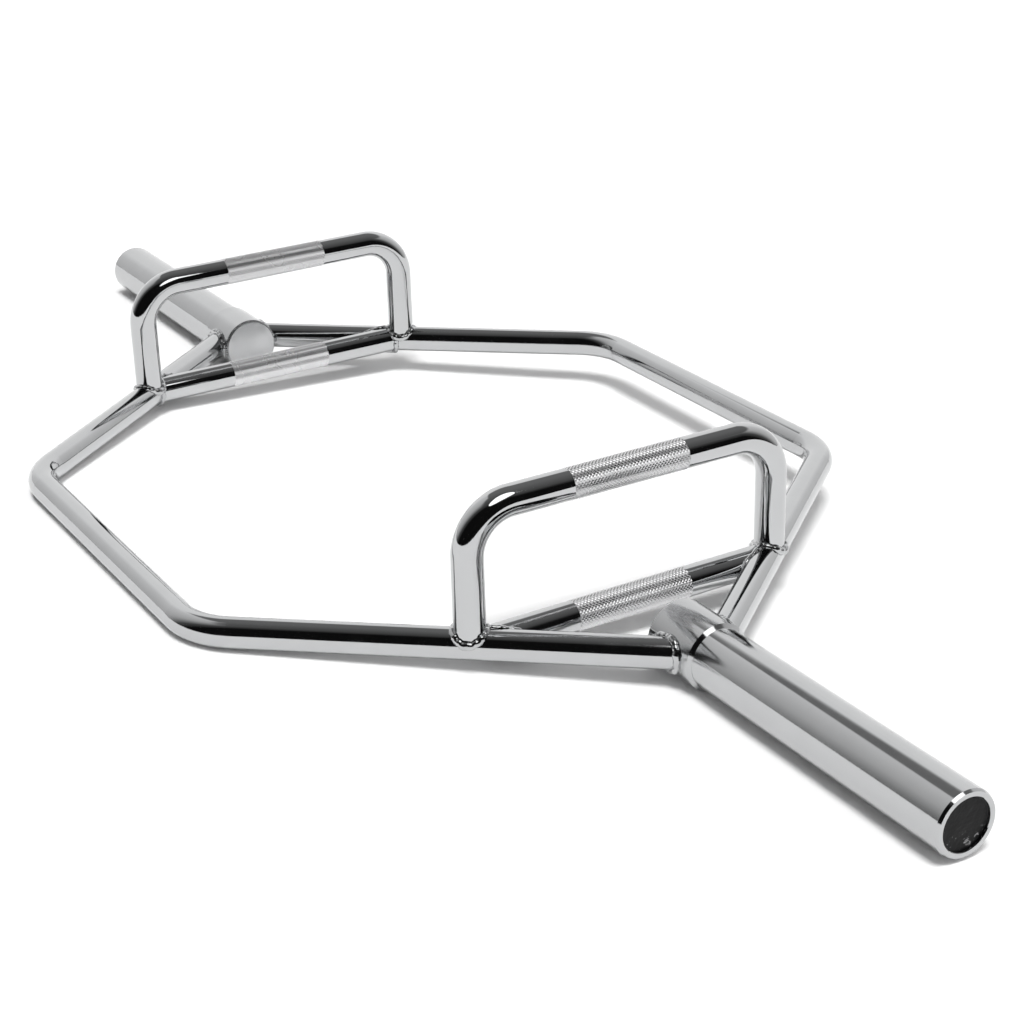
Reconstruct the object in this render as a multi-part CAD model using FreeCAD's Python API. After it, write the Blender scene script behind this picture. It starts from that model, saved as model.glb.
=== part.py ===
"""Hex trap bar: a welded hexagon of round bar with a plate sleeve at each end and two pairs of handles.

Millimetres. X runs along the sleeves, right is +X, front is -Y and Z is up. The origin is at the middle of
the bar, on the plane that the collars rest on.
"""
import FreeCAD
import Part
import math
import os

# Hexagonal frame
overall_length = 1400.0
frame_bar_diameter = 25.0
frame_width = 610.0          # between the axes of the front and rear runs
frame_run_length = 352.0     # front or rear run, from corner to corner of its axis
frame_point_span = 854.0     # between the points where the side runs' axes meet on the sleeve axis
frame_bend_radius = 60.0     # on the bar's axis

# Plate sleeves
sleeve_diameter = 50.0
sleeve_wall = 5.0
sleeve_root_step = 1.0       # turned off the radius inside the collar
sleeve_tip_taper_length = 2.4
sleeve_tip_taper_depth = 1.2
sleeve_bore_chamfer = 0.4

# Collars and the discs that close them
collar_diameter = 55.0
collar_length = 49.0
collar_inset = 44.0          # from the frame's point back to the collar's inner end
collar_fit_gap = 0.1         # round the sleeve's root
shoulder_length = 3.0        # bevel from the collar's rim down to the sleeve
end_disc_thickness = 2.5
end_disc_weld_leg = 2.0

# End plugs and their labels
plug_recess = 2.5
plug_face_thickness = 2.5
plug_skirt_length = 18.0
plug_skirt_wall = 2.0
plug_fin_count = 4
plug_fin_depth = 1.2
plug_fin_thickness = 1.5
plug_fit_gap = 0.1
label_margin = 1.0
label_thickness = 0.3

# Handles
handle_diameter = 25.0
high_handle_inset = 115.0    # from the frame's point in to the grip's axis
high_handle_rise = 108.5     # from the frame's axis to the grip's axis
high_handle_bend_radius = 37.5
low_handle_inset = 110.0     # slightly nearer the point than the high handle
knurl_length = 104.0
knurl_rise = 0.25

# Coped ends and weld runs
cope_setback = 3.0           # a coped end stops this far short of the axis of the bar that it sits on
weld_leg = 3.0

# Places that follow from the sizes above
axis_height = collar_diameter / 2
frame_point = frame_point_span / 2
frame_corner_x = frame_run_length / 2
frame_corner_y = frame_width / 2
sleeve_end = overall_length / 2
sleeve_radius = sleeve_diameter / 2
bore_radius = sleeve_radius - sleeve_wall
collar_radius = collar_diameter / 2
collar_inner_end = frame_point - collar_inset
collar_outer_end = collar_inner_end + collar_length
sleeve_root_radius = sleeve_radius - sleeve_root_step
collar_bore_radius = sleeve_root_radius + collar_fit_gap
plate_stop = collar_outer_end + shoulder_length
high_handle_offset = frame_point - high_handle_inset
low_handle_offset = frame_point - low_handle_inset
sleeve_axis_direction = FreeCAD.Vector(1, 0, 0)
across_direction = FreeCAD.Vector(0, 1, 0)


def at(x, y, height_over_axis=0.0):
    """Point measured from the sleeve axis at the middle of the bar."""
    return FreeCAD.Vector(x, y, axis_height + height_over_axis)


def to_left(shape):
    return shape.mirror(at(0, 0), sleeve_axis_direction)


def to_rear(shape):
    return shape.mirror(at(0, 0), across_direction)


def turned(profile):
    """Solid turned about the sleeve axis, from corners given as place along the axis and radius."""
    corners = [at(place, 0, radius) for place, radius in profile]
    outline = Part.makePolygon(corners + corners[:1])
    return Part.Face(outline).revolve(at(0, 0), sleeve_axis_direction, 360)


def straight_bar(start, end, diameter):
    return Part.makeCylinder(diameter / 2, (end - start).Length, start, end - start)


def bent_bar(corners, diameter, bend_radius):
    """Round bar along straight runs, with a tangent bend at each corner."""
    lengths = []
    run_start = corners[0]
    for before, corner, after in zip(corners, corners[1:], corners[2:]):
        back = (before - corner).normalize()
        ahead = (after - corner).normalize()
        half_turn = (math.pi - back.getAngle(ahead)) / 2
        setback = bend_radius * math.tan(half_turn)
        bend_start = corner + back * setback
        bend_centre = corner + (back + ahead).normalize() * (bend_radius / math.cos(half_turn))
        section = Part.Face(Part.Wire(Part.makeCircle(diameter / 2, bend_start, back)))
        lengths.append(straight_bar(run_start, bend_start, diameter))
        lengths.append(section.revolve(bend_centre, ahead.cross(back), math.degrees(2 * half_turn)))
        run_start = corner + ahead * setback
    lengths.append(straight_bar(run_start, corners[-1], diameter))
    return lengths[0].multiFuse(lengths[1:])


def weld_run(bar_line, bar_diameter, seat_line, seat_diameter, trimming_bars):
    """Bead of weld metal round a coped bar, as thick on the bar as on the round seat below it."""
    round_bar = straight_bar(*bar_line, bar_diameter + 2 * weld_leg)
    over_seat = straight_bar(*seat_line, seat_diameter + 2 * weld_leg)
    return round_bar.common(over_seat).cut(trimming_bars)


def with_knurl(handle, grip_middle):
    """Handle with its rolled grip, which stands slightly proud of the plain bar."""
    grip_start = grip_middle - across_direction * (knurl_length / 2)
    grip_radius = handle_diameter / 2 + knurl_rise
    grip = Part.makeCylinder(grip_radius, knurl_length, grip_start, across_direction)
    return handle.fuse(grip)


# Plate sleeve: tube from the end disc to the tip, with its root turned down to fit inside the collar
plate_sleeve = turned([
    (collar_inner_end, bore_radius),
    (collar_inner_end, sleeve_root_radius),
    (plate_stop, sleeve_root_radius),
    (plate_stop, sleeve_radius),
    (sleeve_end - sleeve_tip_taper_length, sleeve_radius),
    (sleeve_end, sleeve_radius - sleeve_tip_taper_depth),
    (sleeve_end, bore_radius + sleeve_bore_chamfer),
    (sleeve_end - sleeve_bore_chamfer, bore_radius),
])

# Collar: short tube over the root of the sleeve, the seat of the frame bars
collar = turned([
    (collar_inner_end, collar_bore_radius),
    (collar_inner_end, collar_radius),
    (collar_outer_end, collar_radius),
    (collar_outer_end, collar_bore_radius),
])

# Shoulder weld: bevelled ring between collar and sleeve, where the first plate stops
shoulder_weld = turned([
    (collar_outer_end, sleeve_root_radius),
    (collar_outer_end, collar_radius),
    (plate_stop, sleeve_radius),
    (plate_stop, sleeve_root_radius),
])

# End disc: closes collar and sleeve on the lifter's side, set in from the collar's edge
disc_radius = collar_radius - end_disc_weld_leg
collar_end_disc = turned([
    (collar_inner_end, 0),
    (collar_inner_end, disc_radius),
    (collar_inner_end - end_disc_thickness, disc_radius),
    (collar_inner_end - end_disc_thickness, 0),
])

# End disc weld: ring in the corner between the disc's rim and the collar's end
end_disc_weld = turned([
    (collar_inner_end, disc_radius),
    (collar_inner_end, disc_radius + end_disc_weld_leg),
    (collar_inner_end - end_disc_weld_leg, disc_radius),
])

# End plug: moulded cup pressed into the sleeve, held by fins round its skirt
plug_face = sleeve_end - plug_recess
plug_back = plug_face - plug_skirt_length
plug_fin_radius = bore_radius - plug_fit_gap
plug_skirt_radius = plug_fin_radius - plug_fin_depth
plug_inside_radius = plug_skirt_radius - plug_skirt_wall
end_plug = turned([
    (plug_face, 0),
    (plug_face, plug_skirt_radius),
    (plug_back, plug_skirt_radius),
    (plug_back, plug_inside_radius),
    (plug_face - plug_face_thickness, plug_inside_radius),
    (plug_face - plug_face_thickness, 0),
])
fin_spacing = (plug_skirt_length - plug_fin_thickness) / (plug_fin_count - 1)
for fin_index in range(plug_fin_count):
    fin_front = plug_face - fin_index * fin_spacing
    end_plug = end_plug.fuse(turned([
        (fin_front, plug_inside_radius),
        (fin_front, plug_fin_radius),
        (fin_front - plug_fin_thickness, plug_fin_radius),
        (fin_front - plug_fin_thickness, plug_inside_radius),
    ]))

# End label: thin bare disc on the plug's face
label_radius = plug_fin_radius - label_margin
end_label = turned([
    (plug_face, 0),
    (plug_face, label_radius),
    (plug_face + label_thickness, label_radius),
    (plug_face + label_thickness, 0),
])

# Frame bars: two bends each, both ends coped to the collars
right_point = at(frame_point, 0)
front_right_corner = at(frame_corner_x, -frame_corner_y)
front_bar_corners = [
    right_point,
    front_right_corner,
    at(-frame_corner_x, -frame_corner_y),
    at(-frame_point, 0),
]
collar_envelope = Part.makeCylinder(collar_radius, overall_length, at(-sleeve_end, 0), sleeve_axis_direction)
front_frame_bar = bent_bar(front_bar_corners, frame_bar_diameter, frame_bend_radius).cut(collar_envelope)
rear_frame_bar = to_rear(front_frame_bar)


def side_run_reach(offset):
    """Distance from the sleeve axis to the side runs' axes, at a place along the sleeve axis."""
    return (frame_point - offset) * frame_corner_y / (frame_point - frame_corner_x)


# High handle: U-shaped bar whose legs stand on the side runs
leg_reach = side_run_reach(high_handle_offset)
high_handle_corners = [
    at(high_handle_offset, -leg_reach, cope_setback),
    at(high_handle_offset, -leg_reach, high_handle_rise),
    at(high_handle_offset, leg_reach, high_handle_rise),
    at(high_handle_offset, leg_reach, cope_setback),
]
high_handle = bent_bar(high_handle_corners, handle_diameter, high_handle_bend_radius)
high_handle = with_knurl(high_handle, at(high_handle_offset, 0, high_handle_rise))
high_handle = high_handle.cut([front_frame_bar, rear_frame_bar])

# Low handle: straight bar between the side runs, notched round the high handle's legs
low_reach = side_run_reach(low_handle_offset) - cope_setback
low_handle_end = at(low_handle_offset, -low_reach)
low_handle = straight_bar(low_handle_end, at(low_handle_offset, low_reach), handle_diameter)
low_handle = with_knurl(low_handle, at(low_handle_offset, 0))
low_handle = low_handle.cut([front_frame_bar, rear_frame_bar, high_handle])

# Weld runs at the front of the right end, from which the other three quarters are mirrored
sleeve_line = (at(0, 0), at(sleeve_end, 0))
side_run_line = (right_point, front_right_corner)
leg_line = high_handle_corners[:2]
low_handle_line = (low_handle_end, at(low_handle_offset, 0))
collar_bar = straight_bar(*sleeve_line, collar_diameter)
side_run_bar = straight_bar(*side_run_line, frame_bar_diameter)
leg_bar = straight_bar(*leg_line, handle_diameter)
low_handle_bar = straight_bar(*low_handle_line, handle_diameter)
frame_weld = weld_run(side_run_line, frame_bar_diameter, sleeve_line, collar_diameter,
                      [side_run_bar, collar_bar])
leg_foot_bars = [leg_bar, side_run_bar, low_handle_bar]
leg_weld = weld_run(leg_line, handle_diameter, side_run_line, frame_bar_diameter, leg_foot_bars)
leg_weld = leg_weld.fuse(weld_run(leg_line, handle_diameter, low_handle_line, handle_diameter, leg_foot_bars))
low_weld = weld_run(low_handle_line, handle_diameter, side_run_line, frame_bar_diameter,
                    [low_handle_bar, side_run_bar])
below_leg_foot = Part.makeBox(sleeve_end, frame_corner_y, axis_height + cope_setback,
                              at(0, -frame_corner_y, -axis_height))
low_weld = low_weld.common(below_leg_foot)

# One file for each piece
right_pieces = {
    "plate_sleeve": plate_sleeve,
    "collar": collar,
    "shoulder_weld": shoulder_weld,
    "collar_end_disc": collar_end_disc,
    "end_disc_weld": end_disc_weld,
    "end_plug": end_plug,
    "end_label": end_label,
    "high_handle": high_handle,
    "low_handle": low_handle,
    "frame_welds": Part.makeCompound([frame_weld, to_rear(frame_weld)]),
    "high_handle_welds": Part.makeCompound([leg_weld, to_rear(leg_weld)]),
    "low_handle_welds": Part.makeCompound([low_weld, to_rear(low_weld)]),
}
nodes = {"front_frame_bar": front_frame_bar, "rear_frame_bar": rear_frame_bar}
for name, piece in right_pieces.items():
    nodes["right_" + name] = piece
    nodes["left_" + name] = to_left(piece)

os.makedirs("parts", exist_ok=True)
for name, piece in nodes.items():
    piece.exportStep(f"parts/{name}.step")
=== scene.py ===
"""Finish, knurling and weld beads of the hex trap bar, and the white studio that it lies in.

Metres, in the frame of the solids: X along the sleeves, the front run at -Y, Z up.
"""
import bpy
import math
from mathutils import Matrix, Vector


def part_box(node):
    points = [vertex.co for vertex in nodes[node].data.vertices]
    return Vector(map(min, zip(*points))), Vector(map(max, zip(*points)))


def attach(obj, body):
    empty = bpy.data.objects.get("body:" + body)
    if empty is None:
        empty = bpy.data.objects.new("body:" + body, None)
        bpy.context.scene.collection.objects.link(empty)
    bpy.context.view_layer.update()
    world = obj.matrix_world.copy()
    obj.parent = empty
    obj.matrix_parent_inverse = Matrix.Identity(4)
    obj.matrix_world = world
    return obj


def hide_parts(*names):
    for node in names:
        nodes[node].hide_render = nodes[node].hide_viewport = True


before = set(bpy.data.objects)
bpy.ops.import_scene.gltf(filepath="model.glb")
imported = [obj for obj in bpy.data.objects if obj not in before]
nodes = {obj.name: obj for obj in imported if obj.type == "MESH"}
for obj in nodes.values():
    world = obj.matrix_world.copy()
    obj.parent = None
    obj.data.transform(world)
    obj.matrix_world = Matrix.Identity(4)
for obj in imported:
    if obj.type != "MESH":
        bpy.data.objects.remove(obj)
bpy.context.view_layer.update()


# Frame bars: two lengths of 25 mm round steel bar, each bent twice to make one half of the hexagon.
# They are polished, then nickel and chrome plated together with everything that is welded to them.
def linear(srgb_hex):
    """Linear colour with alpha of an sRGB hex value."""
    channels = [int(srgb_hex[place:place + 2], 16) / 255 for place in (1, 3, 5)]
    return [c / 12.92 if c <= 0.04045 else ((c + 0.055) / 1.055) ** 2.4 for c in channels] + [1.0]


def add_node(tree, kind, inputs=None, **settings):
    """Adds a node with its settings, and sets or links each of the named inputs."""
    node = tree.nodes.new(kind)
    for name, value in settings.items():
        setattr(node, name, value)
    for name, value in (inputs or {}).items():
        if isinstance(value, bpy.types.NodeSocket):
            tree.links.new(value, node.inputs[name])
        else:
            node.inputs[name].default_value = value
    return node


def chrome_plate(name, bright, dull, mirror, haze, wave_mm, wave_um):
    """Chrome on polished steel: a cool grey mirror with faint hazy patches, and slow waves left by the
    polishing wheel that make the edges of reflections wander."""
    patch_mm = 22
    material = bpy.data.materials.new(name)
    material.use_nodes = True
    tree = material.node_tree
    shader = tree.nodes["Principled BSDF"]
    shader.inputs["Metallic"].default_value = 1.0
    place = add_node(tree, "ShaderNodeTexCoord").outputs["Object"]
    patches = add_node(tree, "ShaderNodeTexNoise", {"Vector": place, "Scale": 1000 / patch_mm,
                                                    "Detail": 5.0}).outputs["Fac"]
    tone = add_node(tree, "ShaderNodeMix", {"Factor": patches, "A": linear(dull), "B": linear(bright)},
                    data_type="RGBA")
    gloss = add_node(tree, "ShaderNodeMapRange", {"Value": patches, "From Min": 0.35, "From Max": 0.7,
                                                  "To Min": mirror, "To Max": haze})
    waves = add_node(tree, "ShaderNodeTexNoise", {"Vector": place, "Scale": 1000 / wave_mm, "Detail": 1.0})
    relief = add_node(tree, "ShaderNodeBump", {"Height": waves.outputs["Fac"], "Distance": wave_um / 1e6})
    tree.links.new(tone.outputs["Result"], shader.inputs["Base Color"])
    tree.links.new(gloss.outputs["Result"], shader.inputs["Roughness"])
    tree.links.new(relief.outputs["Normal"], shader.inputs["Normal"])
    return material


frame_chrome = chrome_plate("chrome_plated_bent_bar", "#C8C9CA", "#C0C1C2",
                            mirror=0.05, haze=0.11, wave_mm=16, wave_um=18)
for name in ("front_frame_bar", "rear_frame_bar"):
    nodes[name].material_slots[0].material = frame_chrome


# Collars: short lengths of 55 mm tube over the roots of the sleeves, their outer ends bevelled down to the
# sleeve by a ring of weld that is turned smooth. Less finely polished than the bars and plated with them,
# so their reflections are softer.
collar_chrome = chrome_plate("chrome_plated_turned_tube", "#C6C7C8", "#BCBDBE",
                             mirror=0.09, haze=0.15, wave_mm=9, wave_um=5)
for side in ("left_", "right_"):
    nodes[side + "collar"].material_slots[0].material = collar_chrome
    nodes[side + "shoulder_weld"].material_slots[0].material = collar_chrome


# End discs: cut from plate and welded into the inner ends of the collars.
# Only brushed before plating, so each one is an even pale grey and mirrors nothing sharply.
disc_chrome = chrome_plate("chrome_plated_brushed_plate", "#ECEDEE", "#E2E3E4",
                           mirror=0.3, haze=0.38, wave_mm=12, wave_um=6)
for side in ("left_", "right_"):
    nodes[side + "collar_end_disc"].material_slots[0].material = disc_chrome


# Plate sleeves: 50 mm steel tube with a tapered tip, on which the weight plates slide.
# Ground along their length and plated: a softer mirror than the bars.
sleeve_chrome = chrome_plate("chrome_plated_ground_tube", "#C7C8C9", "#BEBFC0",
                             mirror=0.08, haze=0.13, wave_mm=30, wave_um=8)
for side in ("left_", "right_"):
    nodes[side + "plate_sleeve"].material_slots[0].material = sleeve_chrome


# End plugs: black polypropylene cups, injection moulded with fins and pressed into the sleeve tips.
# Moulded plastic shows a dim, broad shine over a fine spark-eroded grain.
grain_mm = 0.5
plug_plastic = bpy.data.materials.new("black_moulded_polypropylene")
plug_plastic.use_nodes = True
tree = plug_plastic.node_tree
shader = tree.nodes["Principled BSDF"]
shader.inputs["IOR"].default_value = 1.49
shader.inputs["Specular IOR Level"].default_value = 0.35
place = add_node(tree, "ShaderNodeTexCoord").outputs["Object"]
grain = add_node(tree, "ShaderNodeTexNoise", {"Vector": place, "Scale": 1000 / grain_mm,
                                              "Detail": 3.0}).outputs["Fac"]
tone = add_node(tree, "ShaderNodeMix", {"Factor": grain, "A": linear("#0B0B0C"), "B": linear("#171718")},
                data_type="RGBA")
gloss = add_node(tree, "ShaderNodeMapRange", {"Value": grain, "To Min": 0.4, "To Max": 0.55})
relief = add_node(tree, "ShaderNodeBump", {"Height": grain, "Distance": 0.00004})
tree.links.new(tone.outputs["Result"], shader.inputs["Base Color"])
tree.links.new(gloss.outputs["Result"], shader.inputs["Roughness"])
tree.links.new(relief.outputs["Normal"], shader.inputs["Normal"])
for side in ("left_", "right_"):
    nodes[side + "end_plug"].material_slots[0].material = plug_plastic


# End labels: bare black discs of calendered vinyl, die cut and stuck to the faces of the plugs.
# The film is a deep black with a weak shine, rubbed duller in places. Its lower part was never pressed
# flat into the recess, so it is creased there. The glints that light catches on the folds are painted into
# its colour as pale grey streaks.
rubbed_mm = 8
fold_mm = 5
loose_from = 0.005
loose_to = 0.011
label_vinyl = bpy.data.materials.new("black_calendered_vinyl_film")
label_vinyl.use_nodes = True
tree = label_vinyl.node_tree
shader = tree.nodes["Principled BSDF"]
shader.inputs["IOR"].default_value = 1.53
shader.inputs["Specular IOR Level"].default_value = 0.14
place = add_node(tree, "ShaderNodeTexCoord").outputs["Object"]
rubbing = add_node(tree, "ShaderNodeTexNoise", {"Vector": place, "Scale": 1000 / rubbed_mm,
                                                "Detail": 6.0}).outputs["Fac"]
low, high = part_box("right_end_label")
label_middle = (low.z + high.z) / 2
height = add_node(tree, "ShaderNodeSeparateXYZ", {0: place}).outputs["Z"]
loose = add_node(tree, "ShaderNodeMapRange", {"Value": height, "From Min": label_middle - loose_from,
                                              "From Max": label_middle - loose_to}).outputs["Result"]
folds = add_node(tree, "ShaderNodeTexNoise", {"Vector": place, "Scale": 1000 / fold_mm, "Detail": 3.0,
                                              "Distortion": 1.2}).outputs["Fac"]
ridges = add_node(tree, "ShaderNodeMapRange", {"Value": folds, "From Min": 0.57,
                                               "From Max": 0.68}).outputs["Result"]
# Painted highlight: pale grey painted along the folds in the lower part, standing in for glints of light
# on the creases.
painted_crease_glints = add_node(tree, "ShaderNodeMath", {0: loose, 1: ridges}, operation="MULTIPLY").outputs["Value"]
tone = add_node(tree, "ShaderNodeMix", {"Factor": painted_crease_glints, "A": linear("#0C0C0D"), "B": linear("#8A8A8B")},
                data_type="RGBA")
gloss = add_node(tree, "ShaderNodeMapRange", {"Value": rubbing, "To Min": 0.2, "To Max": 0.5})
relief = add_node(tree, "ShaderNodeBump", {"Height": rubbing, "Distance": 0.0006})
tree.links.new(tone.outputs["Result"], shader.inputs["Base Color"])
tree.links.new(gloss.outputs["Result"], shader.inputs["Roughness"])
tree.links.new(relief.outputs["Normal"], shader.inputs["Normal"])
for side in ("left_", "right_"):
    nodes[side + "end_label"].material_slots[0].material = label_vinyl


# Handles: 25 mm steel bar, a U-shaped high one and a straight low one at each end, coped to the side runs.
# Polished brighter than the frame and plated with it. Each bar is drawn in at the grip, where rolling the
# knurling has pressed its grooves below the plain surface.
def pick(piece):
    """Selects one object alone and makes it the active one."""
    bpy.ops.object.select_all(action="DESELECT")
    piece.select_set(True)
    bpy.context.view_layer.objects.active = piece


handle_chrome = chrome_plate("chrome_plated_handle_bar", "#CACBCC", "#C3C4C5",
                             mirror=0.03, haze=0.08, wave_mm=14, wave_um=16)
bar_radius = 0.0125
grip_length = 0.104
crest_radius = 0.01275
core_radius = 0.0121
core_share = core_radius / crest_radius
margin = 0.0001
grip_middles = {}
for handle in ("right_high_handle", "left_high_handle", "right_low_handle", "left_low_handle"):
    low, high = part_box(handle)
    grip_middle = Vector(((low.x + high.x) / 2, 0, high.z - crest_radius))
    grip_middles[handle] = grip_middle
    nodes[handle].material_slots[0].material = handle_chrome
    bar = bpy.data.objects.new(handle + "_bar", nodes[handle].data.copy())
    bpy.context.collection.objects.link(bar)
    pick(bar)
    bpy.ops.mesh.customdata_custom_splitnormals_clear()
    bpy.ops.object.mode_set(mode="EDIT")
    bpy.ops.mesh.select_mode(type="VERT")
    bpy.ops.mesh.select_all(action="SELECT")
    bpy.ops.mesh.remove_doubles(threshold=1e-6)
    bpy.ops.mesh.select_all(action="DESELECT")
    bpy.ops.object.mode_set(mode="OBJECT")
    for vertex in bar.data.vertices:
        spoke = (vertex.co - grip_middle).xz.length
        vertex.select = abs(vertex.co.y) < grip_length / 2 + margin and spoke > bar_radius + margin
    bpy.ops.object.mode_set(mode="EDIT")
    bpy.ops.transform.resize(value=(core_share, 1, core_share), center_override=grip_middle)
    bpy.ops.object.mode_set(mode="OBJECT")
    bpy.ops.object.shade_smooth_by_angle(angle=math.radians(30))
    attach(bar, "root")
    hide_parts(handle)


# Knurled grips: diamonds rolled into the middle of each handle, where the hand holds it.
# Rolling leaves rows of small pyramids, drawn here at 3 mm instead of their real 1.6 mm so that they show,
# and the plating over them breaks the reflections into a pale grey hatch.
groove_radius = 0.01232
diamonds_round = 26
diamond_rows = 34
bpy.ops.object.select_all(action="DESELECT")
bpy.ops.mesh.primitive_cylinder_add(vertices=2 * diamonds_round, radius=crest_radius, depth=grip_length,
                                    end_fill_type="NOTHING", rotation=(math.radians(90), 0, 0))
knurl = bpy.context.object
bpy.ops.object.transform_apply(location=True, rotation=True, scale=True)
bpy.ops.object.mode_set(mode="EDIT")
bpy.ops.mesh.select_mode(type="EDGE")
bpy.ops.mesh.select_all(action="DESELECT")
bpy.ops.object.mode_set(mode="OBJECT")
for edge in knurl.data.edges:
    start, end = (knurl.data.vertices[index].co for index in edge.vertices)
    edge.select = abs(end.y - start.y) > grip_length / 2
bpy.ops.object.mode_set(mode="EDIT")
bpy.ops.mesh.subdivide(number_cuts=2 * diamond_rows - 1)
bpy.ops.mesh.select_mode(type="VERT")
bpy.ops.mesh.select_all(action="DESELECT")
bpy.ops.object.mode_set(mode="OBJECT")
for vertex in knurl.data.vertices:
    step_round = round(math.atan2(vertex.co.z, vertex.co.x) / math.pi * diamonds_round)
    step_along = round((vertex.co.y / grip_length + 0.5) * 2 * diamond_rows)
    vertex.select = (step_round + step_along) % 2 == 1
bpy.ops.object.mode_set(mode="EDIT")
groove_share = groove_radius / crest_radius
bpy.ops.transform.resize(value=(groove_share, 1, groove_share), center_override=(0, 0, 0))
bpy.ops.mesh.select_all(action="SELECT")
bpy.ops.mesh.quads_convert_to_tris(quad_method="SHORTEST_DIAGONAL")
bpy.ops.mesh.select_all(action="DESELECT")
bpy.ops.mesh.select_non_manifold()
bpy.ops.mesh.extrude_region_move()
bpy.ops.transform.resize(value=(core_share, 1, core_share), center_override=(0, 0, 0))
bpy.ops.mesh.select_all(action="SELECT")
bpy.ops.mesh.normals_make_consistent(inside=False)
bpy.ops.object.mode_set(mode="OBJECT")
bpy.ops.object.shade_flat()
knurl_chrome = chrome_plate("chrome_plated_knurling", "#E3E3E4", "#D7D7D8",
                            mirror=0.24, haze=0.3, wave_mm=3, wave_um=2)
knurl.data.materials.append(knurl_chrome)
for handle, grip_middle in grip_middles.items():
    grip = knurl.copy()
    grip.data = knurl.data.copy()
    grip.name = handle.replace("handle", "grip_knurl")
    bpy.context.collection.objects.link(grip)
    pick(grip)
    grip.location = grip_middle
    bpy.ops.object.transform_apply(location=True, rotation=True, scale=True)
    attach(grip, "root")
bpy.data.objects.remove(knurl)


# Weld beads: steel laid round each joint in a row of overlapping ripples, then plated over with the bars.
# The ripples are left as they froze, so each bead sparkles with small bright and dark specks.
low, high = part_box("right_collar")
collar_end = low.x
collar_radius = (high.z - low.z) / 2
axis_height = (low.z + high.z) / 2
low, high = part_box("front_frame_bar")
run_place = low.y + bar_radius
collar_inset = 0.044
half_run = 0.176
frame_point = Vector((collar_end + collar_inset, 0, axis_height))
frame_corner = Vector((half_run, run_place, axis_height))
side_run = (frame_corner - frame_point).normalized()
up = Vector((0, 0, 1))
ripple_pitch = 0.0016
bead_stand = 0.0004
weave = 0.0004
weave_turn = 1.7
leg_room = 0.0145
leg_shelter = 0.002


def on_side_run(place):
    """Point on the axis of the front right side run, at a place along X."""
    return frame_point + side_run * ((place - frame_point.x) / side_run.x)


leg_foot = on_side_run(grip_middles["right_high_handle"].x)
low_handle_end = on_side_run(grip_middles["right_low_handle"].x)


def reach(start, heading, seat_point, seat_axis, seat_radius):
    """Distance along a heading to the near side of a round bar that goes on from its seat point, or to the
    bar's middle where the line only passes it."""
    gap = start - seat_point
    if gap.dot(seat_axis) < 0:
        return math.inf
    gap -= seat_axis * gap.dot(seat_axis)
    slope = heading - seat_axis * heading.dot(seat_axis)
    half = gap.dot(slope) / slope.length_squared
    rest = half * half - (gap.length_squared - seat_radius ** 2) / slope.length_squared
    return -half - math.sqrt(max(rest, 0))


def seam(foot, heading, across, seats, kept, filled_degrees):
    """Points every ripple_pitch along the joint of a bar, going along heading, with the bars it is welded
    to. The first point lies on the side that across names. Weld metal fills the joint's sharp corners, so
    each point has the mean depth of filled_degrees on either side, and the torch wove as it went."""
    beside = heading.cross(across)
    run_up = 0.1
    spokes = []
    depths = []
    for degree in range(360):
        angle = math.radians(degree)
        spokes.append(across * math.cos(angle) + beside * math.sin(angle))
        start = foot - heading * run_up + spokes[-1] * bar_radius
        depths.append(min(reach(start, heading, *seat) for seat in seats) - run_up)
    stretch = range(-filled_degrees, filled_degrees + 1)
    points = []
    last = None
    for degree, spoke in enumerate(spokes):
        depth = sum(depths[(degree + near) % 360] for near in stretch) / len(stretch)
        point = foot + spoke * (bar_radius + bead_stand) + heading * depth
        if kept(point) and (last is None or (point - last).length >= ripple_pitch):
            points.append(point + heading * weave * math.sin(weave_turn * len(points)))
            last = point
    return points


def weld_bead(name, points, size):
    """One bead: a ripple copied along the seam, now larger and now smaller, grown together and slumped."""
    fine_swing = 0.05
    fine_turn = 2.3
    broad_swing = 0.08
    broad_turn = 0.83
    voxel = 0.0005
    bpy.ops.object.select_all(action="DESELECT")
    bpy.ops.mesh.primitive_uv_sphere_add(segments=20, ring_count=12, radius=size, location=points[0])
    bead = bpy.context.object
    bead.name = name
    for count, point in enumerate(points[1:]):
        swell = fine_swing * math.sin(fine_turn * count) + broad_swing * math.sin(broad_turn * count)
        ripple = bead.copy()
        ripple.data = bead.data.copy()
        ripple.location = point
        ripple.scale = [1 + swell] * 3
        bpy.context.collection.objects.link(ripple)
        ripple.select_set(True)
    bpy.ops.object.join()
    bpy.ops.object.transform_apply(location=True, rotation=True, scale=True)
    grown = bead.modifiers.new("grown_together", "REMESH")
    grown.mode = "VOXEL"
    grown.voxel_size = voxel
    slumped = bead.modifiers.new("slumped", "SMOOTH")
    slumped.iterations = 10
    for modifier in ("grown_together", "slumped"):
        bpy.ops.object.modifier_apply(modifier=modifier)
    bpy.ops.object.shade_smooth()
    return bead


def mirrored(bead, name, scale):
    """Copy of a bead on the other side, with its faces turned outwards again."""
    copy = bead.copy()
    copy.data = bead.data.copy()
    copy.name = name
    bpy.context.collection.objects.link(copy)
    pick(copy)
    copy.scale = scale
    bpy.ops.object.transform_apply(location=True, rotation=True, scale=True)
    bpy.ops.object.mode_set(mode="EDIT")
    bpy.ops.mesh.select_all(action="SELECT")
    bpy.ops.mesh.normals_make_consistent(inside=False)
    bpy.ops.object.mode_set(mode="OBJECT")
    return copy


def anywhere(point):
    """A bead that goes all the way round."""
    return True


def beside_leg(point):
    """The part of a low handle's bead that the leg of the high handle leaves open."""
    return (point - leg_foot).xy.length > leg_room or point.z < axis_height + leg_shelter


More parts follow.
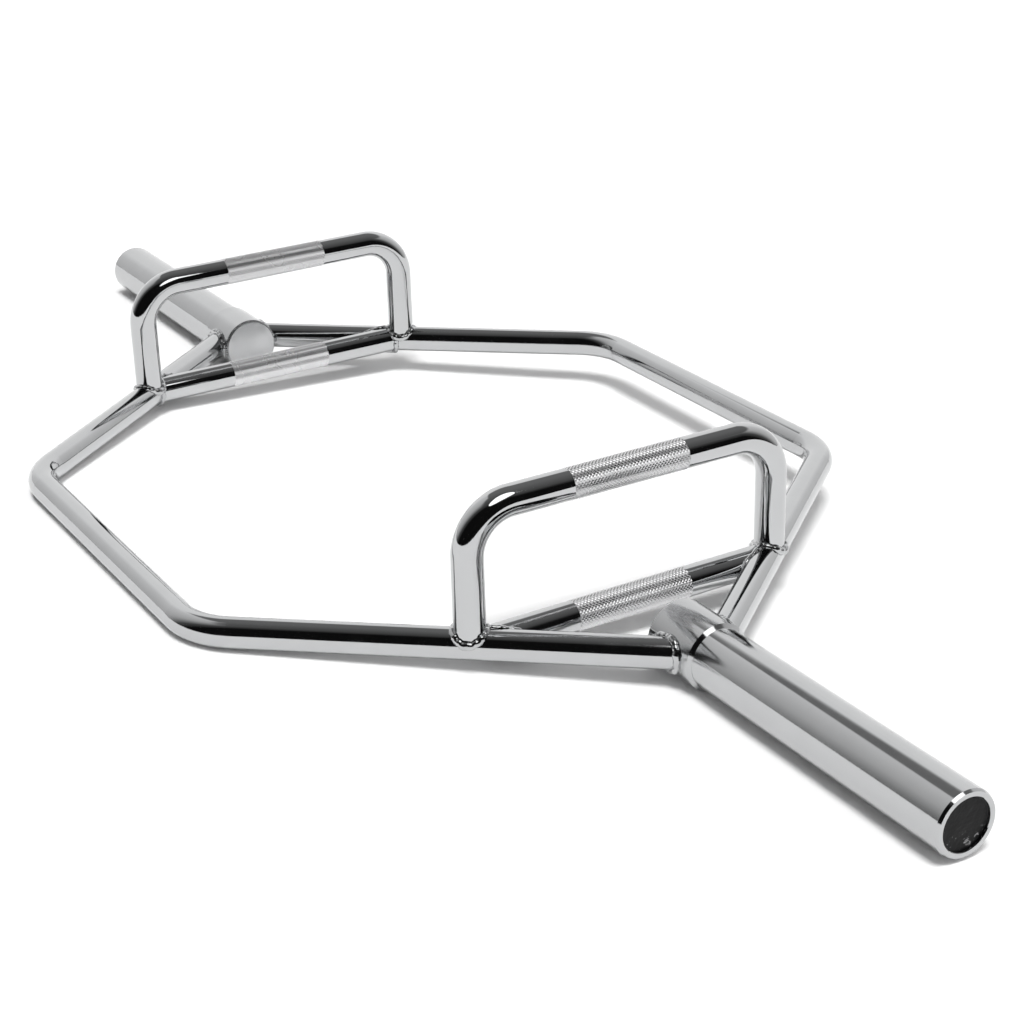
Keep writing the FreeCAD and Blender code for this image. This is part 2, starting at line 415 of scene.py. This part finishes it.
collar_seat = (frame_point, Vector((-1, 0, 0)), collar_radius)
run_seat = (frame_point, side_run, bar_radius)
low_seat = (low_handle_end, Vector((0, 1, 0)), bar_radius)
across_run = side_run.cross(up)
to_front = Vector((0, -1, 0))
frame_seam = seam(frame_point, -side_run, up, [collar_seat], anywhere, filled_degrees=25)
high_handle_seam = seam(leg_foot, -up, across_run, [run_seat, low_seat], anywhere, filled_degrees=45)
low_handle_seam = seam(low_handle_end, to_front, up, [run_seat], beside_leg, filled_degrees=25)
weld_chrome = chrome_plate("chrome_plated_weld_metal", "#CDCECF", "#AEAFB0",
                           mirror=0.06, haze=0.22, wave_mm=2.5, wave_um=45)
for weld, points, ripple_radius in (("frame_welds", frame_seam, 0.0032),
                                    ("high_handle_welds", high_handle_seam, 0.0033),
                                    ("low_handle_welds", low_handle_seam, 0.0025)):
    front = weld_bead("right_" + weld + "_beads", points, ripple_radius)
    front.data.materials.append(weld_chrome)
    rear = mirrored(front, weld + "_rear", (1, -1, 1))
    pick(front)
    rear.select_set(True)
    bpy.ops.object.join()
    other = mirrored(front, "left_" + weld + "_beads", (-1, 1, 1))
    for side, bead in (("right_", front), ("left_", other)):
        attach(bead, "root")
        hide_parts(side + weld)


# End disc welds: the same rippled bead, run round the rim of each end disc where it meets the collar.
# Seen end on it is a dark uneven line round the pale disc.
ring_radius = 0.026
ring_stand = 0.0006
ring_ripples = 72
ring_ripple_radius = 0.0013
ring = []
for count in range(ring_ripples):
    angle = 2 * math.pi * count / ring_ripples
    ring_y = ring_radius * math.cos(angle)
    ring_z = axis_height + ring_radius * math.sin(angle)
    ring.append(Vector((collar_end - ring_stand, ring_y, ring_z)))
right_ring = weld_bead("right_end_disc_bead", ring, ring_ripple_radius)
right_ring.data.materials.append(weld_chrome)
left_ring = mirrored(right_ring, "left_end_disc_bead", (-1, 1, 1))
for side, bead in (("right_", right_ring), ("left_", left_ring)):
    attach(bead, "root")
    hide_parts(side + "end_disc_weld")


# Studio floor: white paper under the bar, which lies tipped over onto its front run.
# It keeps the soft shadow, and the camera sees it a little whiter than the chrome does.
lean = math.asin((axis_height - bar_radius) / -run_place)
floor_gap = 0.0001
bpy.ops.object.select_all(action="DESELECT")
bpy.ops.mesh.primitive_plane_add(size=30, location=(0, 0, -floor_gap), rotation=(-lean, 0, 0))
floor = bpy.context.object
floor.name = "studio_floor"
floor_paper = bpy.data.materials.new("white_background_paper")
floor_paper.use_nodes = True
tree = floor_paper.node_tree
tree.nodes.clear()
path = add_node(tree, "ShaderNodeLightPath")
tone = add_node(tree, "ShaderNodeMix", {"Factor": path.outputs["Is Camera Ray"], "A": linear("#F1F1F1"),
                                        "B": linear("#FDFDFD")}, data_type="RGBA")
paper = add_node(tree, "ShaderNodeBsdfDiffuse", {"Color": tone.outputs["Result"]})
add_node(tree, "ShaderNodeOutputMaterial", {"Surface": paper.outputs[0]})
floor.data.materials.append(floor_paper)


# Studio room: a white sweep behind the bar that fades to grey at its sides, a dim ceiling, and darkness
# round the camera. The camera sees plain white, the paper is lit more from behind on the right than from
# the front, and only the chrome mirrors the rest.
camera_side = (0.866, -0.5, 0)
camera_side_low = (0.866, -0.5, -0.35)
right_rear = (0.85, 0.53, 0)
sweep_stops = ((0.04, 1.0), (0.1, 0.8), (0.2, 0.68), (0.29, 0.57),
               (0.345, 0.43), (0.41, 0.24), (0.47, 0.09), (0.6, 0.006))
ceiling_stops = ((0.2, 0.2), (0.35, 0.18), (0.5, 0.13), (0.65, 0.07), (0.8, 0.04))
world = bpy.data.worlds.new("studio_room")
bpy.context.scene.world = world
world.use_nodes = True
tree = world.node_tree
tree.nodes.clear()
path = add_node(tree, "ShaderNodeLightPath")
heading = add_node(tree, "ShaderNodeTexCoord").outputs["Generated"]
split = add_node(tree, "ShaderNodeSeparateXYZ", {0: heading})
ramps = []
for direction, stops in ((camera_side_low, sweep_stops), (camera_side, ceiling_stops)):
    along = add_node(tree, "ShaderNodeVectorMath", {0: heading, 1: direction}, operation="DOT_PRODUCT")
    share = add_node(tree, "ShaderNodeMapRange", {"Value": along.outputs["Value"], "From Min": -1.0})
    ramp = add_node(tree, "ShaderNodeValToRGB", {"Fac": share.outputs["Result"]})
    elements = ramp.color_ramp.elements
    elements.remove(elements[1])
    elements[0].position = stops[0][0]
    elements[0].color = [stops[0][1]] * 3 + [1]
    for position, value in stops[1:]:
        elements.new(position).color = [value] * 3 + [1]
    ramps.append(ramp.outputs["Color"])
sweep, ceiling = ramps
behind = add_node(tree, "ShaderNodeMapRange", {"Value": split.outputs["Y"], "From Min": -0.14,
                                               "From Max": 0.04, "To Max": 0.25})
rise = add_node(tree, "ShaderNodeMath", {0: split.outputs["Z"], 1: behind.outputs["Result"]},
                operation="ADD")
overhead = add_node(tree, "ShaderNodeMapRange", {"Value": rise.outputs["Value"], "From Min": 0.88,
                                                 "From Max": 0.96}, interpolation_type="SMOOTHSTEP")
room = add_node(tree, "ShaderNodeMix", {"Factor": overhead.outputs["Result"], "A": sweep, "B": ceiling},
                data_type="RGBA")
side_light = add_node(tree, "ShaderNodeVectorMath", {0: heading, 1: right_rear}, operation="DOT_PRODUCT")
paper_light = add_node(tree, "ShaderNodeMapRange", {"Value": side_light.outputs["Value"], "From Min": -0.7,
                                                    "To Max": 1.05})
plain = add_node(tree, "ShaderNodeMix", {"Factor": path.outputs["Is Camera Ray"],
                                         "A": paper_light.outputs["Result"], "B": linear("#FFFFFF")},
                 data_type="RGBA")
shown = add_node(tree, "ShaderNodeMix", {"Factor": path.outputs["Is Glossy Ray"],
                                         "A": plain.outputs["Result"], "B": room.outputs["Result"]},
                 data_type="RGBA")
background = add_node(tree, "ShaderNodeBackground", {"Color": shown.outputs["Result"]})
add_node(tree, "ShaderNodeOutputWorld", {"Surface": background.outputs[0]})


# Studio lamps: a broad overhead fill for the soft shadow, and a softbox above the right-hand end.
# Only the softbox shows in the chrome, as the white streaks on the handle bends.
fill_turn = (math.radians(9.2), math.radians(18.3), 0)
softbox_place = (0.93, 0.05, 1.37)
bpy.ops.object.select_all(action="DESELECT")
bpy.ops.object.light_add(type="SUN", rotation=fill_turn)
fill = bpy.context.object
fill.name = "overhead_fill"
fill.data.energy = 2.5
fill.data.angle = math.radians(20)
fill.visible_glossy = False
bpy.ops.object.light_add(type="AREA", location=softbox_place, rotation=(0, 0, 0))
softbox = bpy.context.object
softbox.name = "softbox"
softbox.data.shape = "ELLIPSE"
softbox.data.size = 0.86
softbox.data.size_y = 1.0
softbox.data.energy = 4.43
softbox.visible_camera = False
softbox.visible_diffuse = False


# Camera: a moderate telephoto at the right-hand end, above the bar and looking down along it.
# Its place, turn and lens were fitted to the outlines of the bars in the photograph.
camera = bpy.data.objects.new("camera", bpy.data.cameras.new("camera"))
bpy.context.collection.objects.link(camera)
camera.location = (1.5352, -0.8214, 0.7725)
camera.rotation_euler = [math.radians(angle) for angle in (65.503, 1.44, 58.826)]
camera.data.sensor_width = 36
camera.data.lens = 74.361
camera.data.clip_end = 100
bpy.context.scene.camera = camera
bpy.context.scene.view_settings.view_transform = "Standard"
